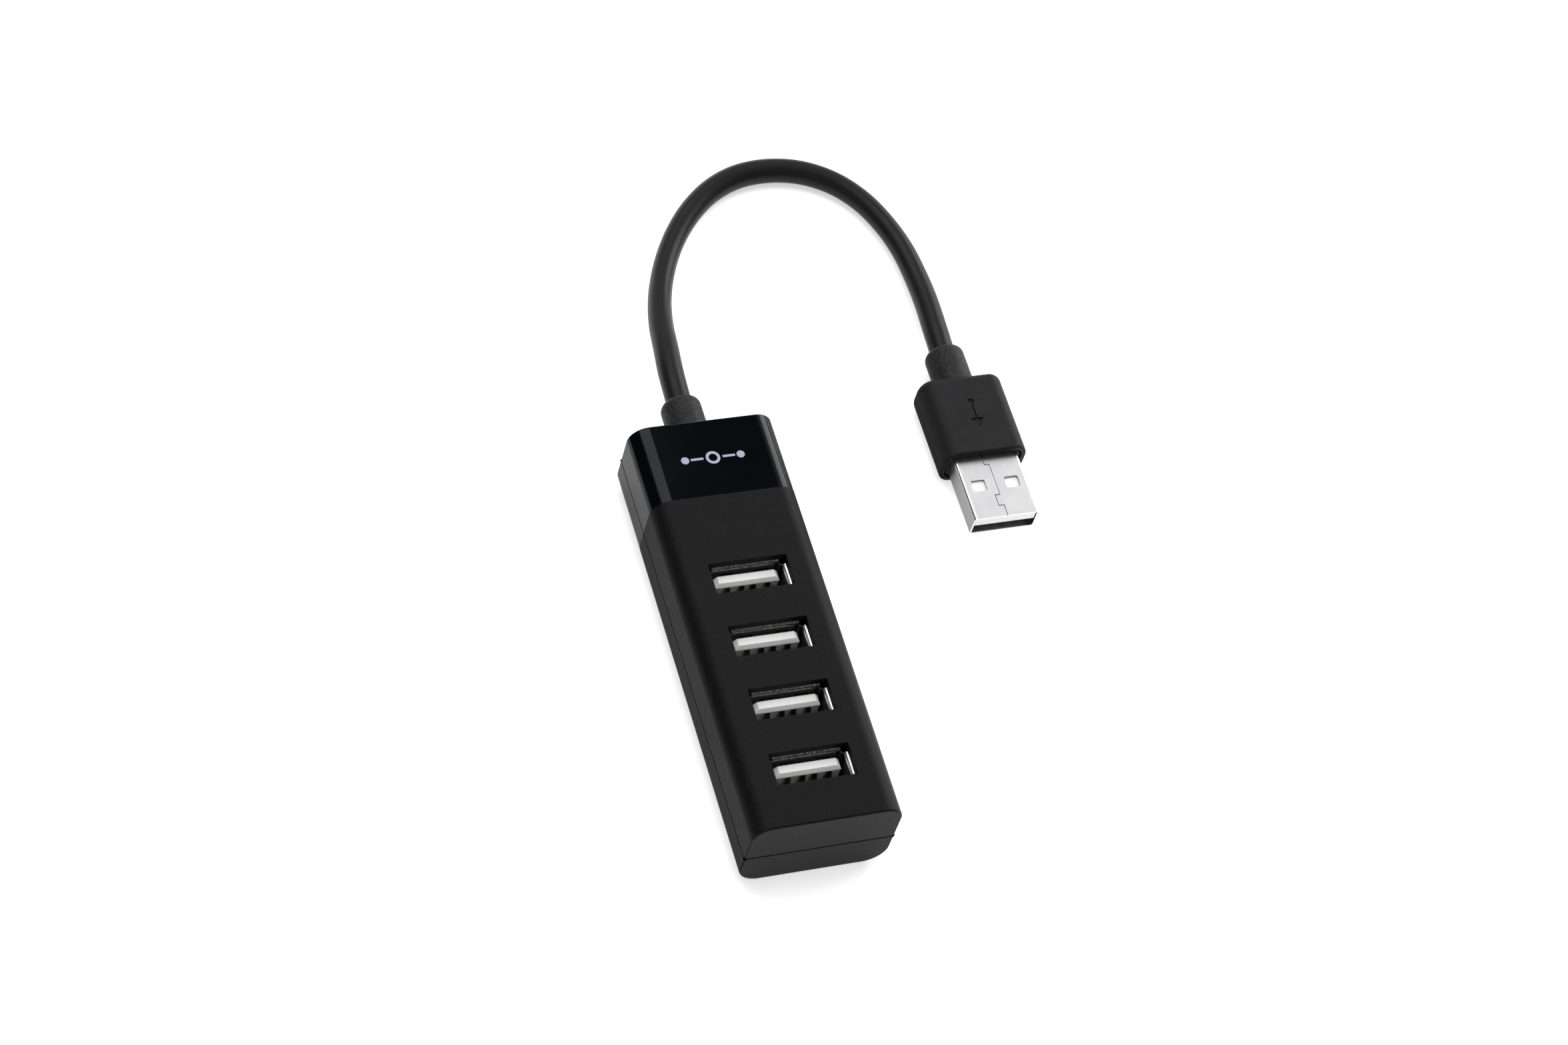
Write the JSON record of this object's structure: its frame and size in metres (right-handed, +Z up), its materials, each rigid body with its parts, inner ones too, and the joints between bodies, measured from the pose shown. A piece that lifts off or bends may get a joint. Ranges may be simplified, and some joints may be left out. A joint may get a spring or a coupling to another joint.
{
  "type": "usb hub",
  "caption": "Slim desktop USB hub: a rounded black plastic bar with upward-facing A sockets in a row, a short fixed lead with strain reliefs, and an A plug on its end.",
  "frame": {"origin": "centre of the casing's underside, on the surface that the hub rests on", "axes": "+X across the casing, towards the side that the lead loops round to and the plug lies on; +Y along the casing, towards the end that the lead leaves; +Z up, out of the sockets"},
  "size_m": [0.0723, 0.1417, 0.0167],
  "materials": {
    "casing_plastic": "black moulded plastic with a fine matte texture; polished to a gloss at the end that the lead leaves",
    "board_green": "green solder mask over glass-fibre laminate",
    "chip_plastic": "dull black epoxy with tinned legs",
    "crystal_can": "drawn steel can, satin",
    "capacitor_can": "bare aluminium can",
    "socket_steel": "tin-plated sheet steel, satin, bare at the sheared rim",
    "white_plastic": "white glass-filled nylon, semi-matte",
    "contact_gold": "gold flash over spring bronze",
    "boot_rubber": "black, grainy matte",
    "wire_red": "extruded insulation",
    "wire_white": "extruded insulation",
    "wire_green": "extruded insulation",
    "wire_black": "extruded insulation",
    "cord_jacket": "black flexible PVC, smooth satin",
    "plug_nickel": "bright nickel-plated sheet steel, lightly brushed",
    "grip_plastic": "black flexible PVC with a fine matte texture",
    "inner_mould_plastic": "black polyethylene, matte"
  },
  "bodies": {
    "root": {"top_shell": "casing_plastic", "bottom_shell": "casing_plastic", "circuit_board": "board_green", "hub_chip": "chip_plastic", "crystal": "crystal_can", "capacitor_main": "capacitor_can", "capacitor_bypass": "capacitor_can", "socket_shell_1": "socket_steel", "socket_tongue_1": "white_plastic", "socket_contact_1_1": "contact_gold", "socket_contact_1_2": "contact_gold", "socket_contact_1_3": "contact_gold", "socket_contact_1_4": "contact_gold", "socket_shell_2": "socket_steel", "socket_tongue_2": "white_plastic", "socket_contact_2_1": "contact_gold", "socket_contact_2_2": "contact_gold", "socket_contact_2_3": "contact_gold", "socket_contact_2_4": "contact_gold", "socket_shell_3": "socket_steel", "socket_tongue_3": "white_plastic", "socket_contact_3_1": "contact_gold", "socket_contact_3_2": "contact_gold", "socket_contact_3_3": "contact_gold", "socket_contact_3_4": "contact_gold", "socket_shell_4": "socket_steel", "socket_tongue_4": "white_plastic", "socket_contact_4_1": "contact_gold", "socket_contact_4_2": "contact_gold", "socket_contact_4_3": "contact_gold", "socket_contact_4_4": "contact_gold", "cord_boot": "boot_rubber", "wire_power": "wire_red", "wire_data_minus": "wire_white", "wire_data_plus": "wire_green", "wire_ground": "wire_black", "cord": "cord_jacket", "plug_shell": "plug_nickel", "plug_insulator": "white_plastic", "plug_contact_1": "contact_gold", "plug_contact_2": "contact_gold", "plug_contact_3": "contact_gold", "plug_contact_4": "contact_gold", "plug_overmould": "grip_plastic", "plug_inner_mould": "inner_mould_plastic"}
  },
  "joints": []
}
